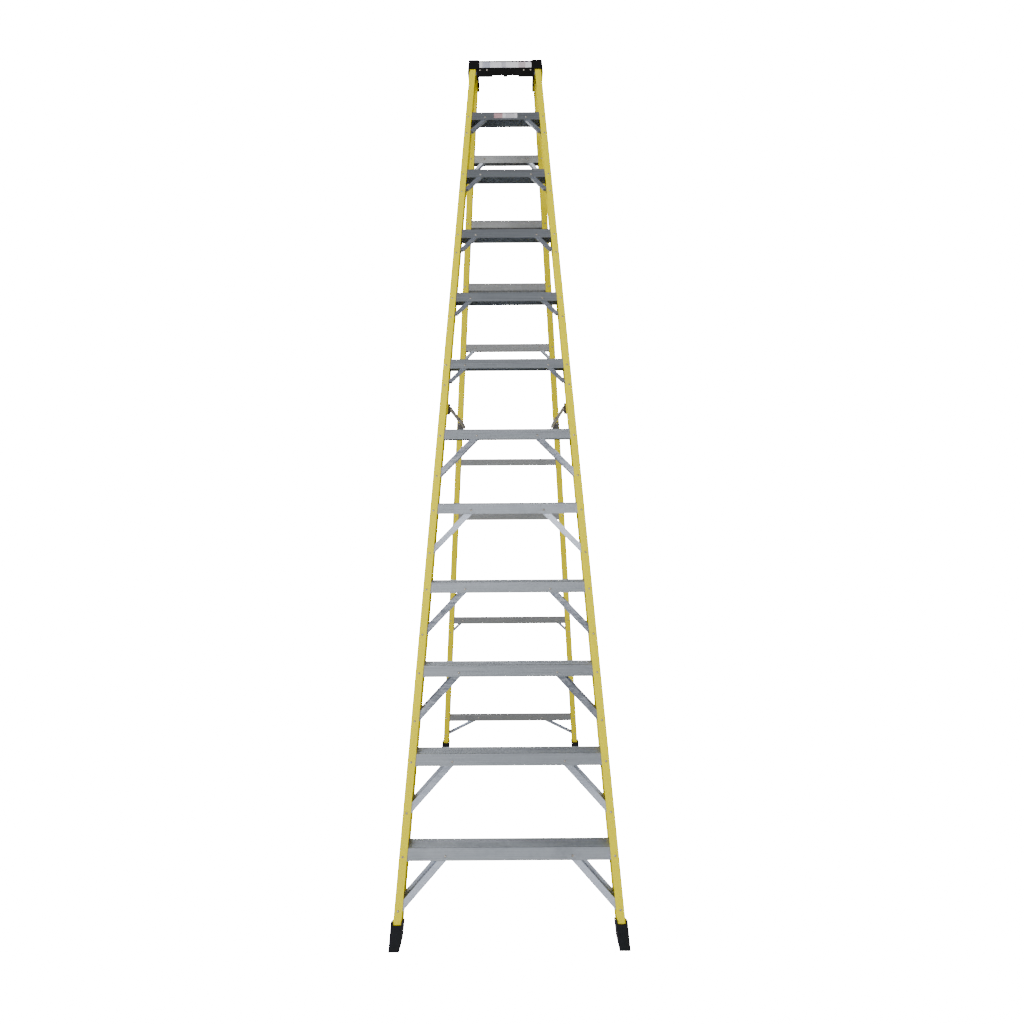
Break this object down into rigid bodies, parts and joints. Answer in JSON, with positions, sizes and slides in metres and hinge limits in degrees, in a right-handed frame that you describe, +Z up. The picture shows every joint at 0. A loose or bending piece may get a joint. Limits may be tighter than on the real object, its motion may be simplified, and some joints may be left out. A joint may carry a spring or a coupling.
{
  "type": "stepladder",
  "caption": "Tall A-frame stepladder with fibreglass rails, flat aluminium treads, braces, a moulded top cap, rubber boots and folding spreaders",
  "frame": {"origin": "on the floor, in the middle of the bounding box", "axes": "+Z up; the climbing side faces -Y; X is across the ladder"},
  "size_m": [0.7988, 1.9546, 3.489],
  "materials": {
    "front_fibreglass": "pultruded fibreglass, satin",
    "rear_fibreglass": "pultruded fibreglass, satin",
    "tread_aluminium": "mill finish, ribbed",
    "brace_aluminium": "mill finish",
    "rivet_metal": "plated",
    "spreader_steel": "zinc plated, dull",
    "boot_rubber": "moulded, matte",
    "cap_plastic": "moulded, fine grain",
    "plate_plastic": "printed film"
  },
  "bodies": {
    "front_frame": {"front_rail_left": "front_fibreglass", "front_boot_left": "boot_rubber", "front_rail_right": "front_fibreglass", "front_boot_right": "boot_rubber", "tread_01": "tread_aluminium", "tread_braces_01": "brace_aluminium", "tread_02": "tread_aluminium", "tread_braces_02": "brace_aluminium", "tread_03": "tread_aluminium", "tread_braces_03": "brace_aluminium", "tread_04": "tread_aluminium", "tread_braces_04": "brace_aluminium", "tread_05": "tread_aluminium", "tread_braces_05": "brace_aluminium", "tread_06": "tread_aluminium", "tread_braces_06": "brace_aluminium", "tread_07": "tread_aluminium", "tread_braces_07": "brace_aluminium", "tread_08": "tread_aluminium", "tread_braces_08": "brace_aluminium", "tread_09": "tread_aluminium", "tread_braces_09": "brace_aluminium", "tread_10": "tread_aluminium", "tread_braces_10": "brace_aluminium", "tread_11": "tread_aluminium", "tread_braces_11": "brace_aluminium", "front_rivets": "rivet_metal", "top_cap": "cap_plastic", "cap_gussets": "brace_aluminium", "cap_bolts": "rivet_metal", "cap_plate": "plate_plastic", "tread_plate": "plate_plastic", "hinge_bolts": "rivet_metal", "front_spreader_brackets": "spreader_steel", "front_spreader_pins": "rivet_metal"},
    "rear_frame": {"rear_rail_left": "rear_fibreglass", "rear_boot_left": "boot_rubber", "rear_rail_right": "rear_fibreglass", "rear_boot_right": "boot_rubber", "rear_bar_11": "brace_aluminium", "rear_bar_10": "brace_aluminium", "rear_bar_09": "brace_aluminium", "rear_bar_08": "brace_aluminium", "rear_bar_06": "brace_aluminium", "rear_bar_05": "brace_aluminium", "rear_bar_03": "brace_aluminium", "rear_bar_01": "brace_aluminium", "rear_bar_braces_11": "brace_aluminium", "rear_bar_braces_08": "brace_aluminium", "rear_bar_braces_03": "brace_aluminium", "rear_bar_braces_01": "brace_aluminium", "rear_rivets": "rivet_metal", "rear_spreader_brackets": "spreader_steel", "rear_spreader_pins": "rivet_metal"},
    "front_link_left": {"spreader_front_link_left": "spreader_steel", "spreader_knee_pin_left": "rivet_metal"},
    "rear_link_left": {"spreader_rear_link_left": "spreader_steel"},
    "front_link_right": {"spreader_front_link_right": "spreader_steel", "spreader_knee_pin_right": "rivet_metal"},
    "rear_link_right": {"spreader_rear_link_right": "spreader_steel"}
  },
  "joints": [
    {"name": "rear_fold", "type": "hinge", "parent": "front_frame", "child": "rear_frame", "pos_m": [0, 0.24466, 3.436], "axis": [-1, 0, 0], "range_deg": [0, 28.45]},
    {"name": "front_link_hinge_left", "type": "hinge", "parent": "front_frame", "child": "front_link_left", "pos_m": [-0.2285, -0.30986, 1.848], "axis": [1, 0, 0], "range_deg": [0, 73.05]},
    {"name": "rear_link_hinge_left", "type": "hinge", "parent": "rear_frame", "child": "rear_link_left", "pos_m": [-0.2251, 0.51732, 1.848], "axis": [-1, 0, 0], "range_deg": [0, 75.88]},
    {"name": "front_link_hinge_right", "type": "hinge", "parent": "front_frame", "child": "front_link_right", "pos_m": [0.2285, -0.30986, 1.848], "axis": [1, 0, 0], "range_deg": [0, 73.05]},
    {"name": "rear_link_hinge_right", "type": "hinge", "parent": "rear_frame", "child": "rear_link_right", "pos_m": [0.2251, 0.51732, 1.848], "axis": [-1, 0, 0], "range_deg": [0, 75.88]}
  ],
  "couplings": [
    {"joint": "front_link_hinge_left", "follows": "rear_fold", "ratio": 2.5659},
    {"joint": "rear_link_hinge_left", "follows": "rear_fold", "ratio": 2.6652},
    {"joint": "front_link_hinge_right", "follows": "rear_fold", "ratio": 2.5659},
    {"joint": "rear_link_hinge_right", "follows": "rear_fold", "ratio": 2.6652}
  ]
}
